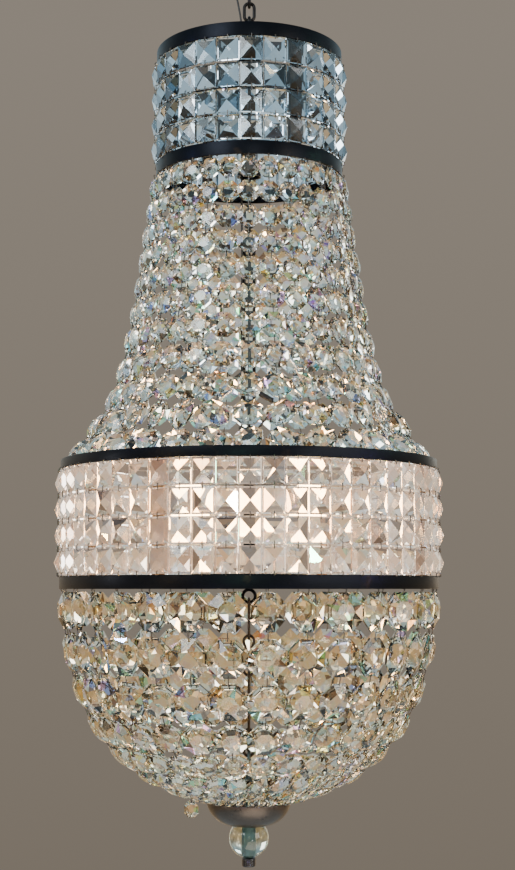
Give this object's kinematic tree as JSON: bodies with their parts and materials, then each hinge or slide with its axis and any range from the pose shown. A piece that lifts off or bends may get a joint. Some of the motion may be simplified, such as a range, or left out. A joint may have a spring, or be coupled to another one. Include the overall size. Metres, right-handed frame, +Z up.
{
  "type": "basket chandelier",
  "caption": "Hanging basket chandelier with a crystal crown, a flared bead neck, a lit drum of square stones and a bead basket over a dish and ball.",
  "frame": {"origin": "middle of the ceiling rose's flat top face, where it meets the ceiling", "axes": "+Z up along the chain towards the ceiling; -Y is the front that faces the viewer, +X is to the viewer's right"},
  "size_m": [0.3964, 0.3964, 0.9476],
  "materials": {
    "bronze": "dark antique bronze, satin",
    "chain": "dark bronze chain, satin",
    "crystal": "cut clear crystal with a faint rainbow coating",
    "lamp_glass": "frosted warm lamp glass",
    "candle_tube": "ivory candle tube, matt",
    "black_sleeve": "black flexible plastic",
    "black_nut": "black lacquer"
  },
  "bodies": {
    "ceiling": {"ceiling_rose": "bronze", "cord_grommet": "black_sleeve", "ceiling_loop": "bronze"},
    "top_link": {"chain_top_link": "chain"},
    "chandelier": {"crown_top_band": "bronze", "crown_bottom_band": "bronze", "crown_top_bar": "bronze", "crown_bottom_bar": "bronze", "crown_hanger_pin": "bronze", "drum_top_band": "bronze", "drum_bottom_band": "bronze", "drum_top_spider": "bronze", "drum_bottom_spider": "bronze", "hub_cup": "bronze", "hub_top_eye": "bronze", "centre_tube": "bronze", "lamp_spider": "bronze", "hub_bottom_eye": "bronze", "stay_hook_1": "bronze", "stay_link_1": "bronze", "stay_link_2": "bronze", "stay_hook_2": "bronze", "finial_rod": "bronze", "dish": "bronze", "crown_strap_1": "bronze", "crown_strap_2": "bronze", "crown_strap_3": "bronze", "crown_strap_4": "bronze", "drum_strap_1": "bronze", "drum_strap_2": "bronze", "drum_strap_3": "bronze", "drum_strap_4": "bronze", "suspension_chain": "chain", "crown_stones_1": "crystal", "crown_stones_2": "crystal", "drum_stones_1": "crystal", "drum_stones_2": "crystal", "neck_strands_1": "crystal", "neck_strands_2": "crystal", "neck_strands_3": "crystal", "neck_strands_4": "crystal", "basket_strands_1": "crystal", "basket_strands_2": "crystal", "basket_strands_3": "crystal", "basket_strands_4": "crystal", "supply_cord": "black_sleeve", "cord_grip": "black_sleeve", "splice_sleeve": "black_sleeve", "lamp_holder_1": "candle_tube", "lamp_holder_2": "candle_tube", "lamp_holder_3": "candle_tube", "lamp_holder_4": "candle_tube"},
    "ball": {"finial_ball": "crystal"},
    "nut": {"finial_nut": "black_nut"},
    "hanging_bead": {"loose_bead": "crystal"},
    "bulb_1": {"bulb_1": "lamp_glass"},
    "bulb_2": {"bulb_2": "lamp_glass"},
    "bulb_3": {"bulb_3": "lamp_glass"},
    "bulb_4": {"bulb_4": "lamp_glass"}
  },
  "joints": [
    {"name": "sway_front_back", "type": "hinge", "parent": "ceiling", "child": "top_link", "pos_m": [0, 0, -0.0375], "axis": [1, 0, 0], "range_deg": [-8, 8]},
    {"name": "sway_side", "type": "hinge", "parent": "top_link", "child": "chandelier", "pos_m": [0, 0, -0.0527], "axis": [0, 1, 0], "range_deg": [-8, 8]},
    {"name": "bulb_1_screw", "type": "hinge", "parent": "chandelier", "child": "bulb_1", "pos_m": [0.0601, 0.0601, -0.61], "axis": [0, 0, 1], "continuous": true},
    {"name": "bulb_2_screw", "type": "hinge", "parent": "chandelier", "child": "bulb_2", "pos_m": [-0.0601, 0.0601, -0.61], "axis": [0, 0, 1], "continuous": true},
    {"name": "bulb_3_screw", "type": "hinge", "parent": "chandelier", "child": "bulb_3", "pos_m": [-0.0601, -0.0601, -0.61], "axis": [0, 0, 1], "continuous": true},
    {"name": "bulb_4_screw", "type": "hinge", "parent": "chandelier", "child": "bulb_4", "pos_m": [0.0601, -0.0601, -0.61], "axis": [0, 0, 1], "continuous": true},
    {"name": "ball_turn", "type": "hinge", "parent": "chandelier", "child": "ball", "pos_m": [0, 0, -0.9193], "axis": [0, 0, 1], "continuous": true},
    {"name": "nut_turn", "type": "hinge", "parent": "chandelier", "child": "nut", "pos_m": [0, 0, -0.943], "axis": [0, 0, 1], "continuous": true},
    {"name": "hanging_bead_swing", "type": "hinge", "parent": "chandelier", "child": "hanging_bead", "pos_m": [-0.05516, -0.06857, -0.8712], "axis": [0.7792, -0.6268, 0], "range_deg": [-30, 30]}
  ]
}
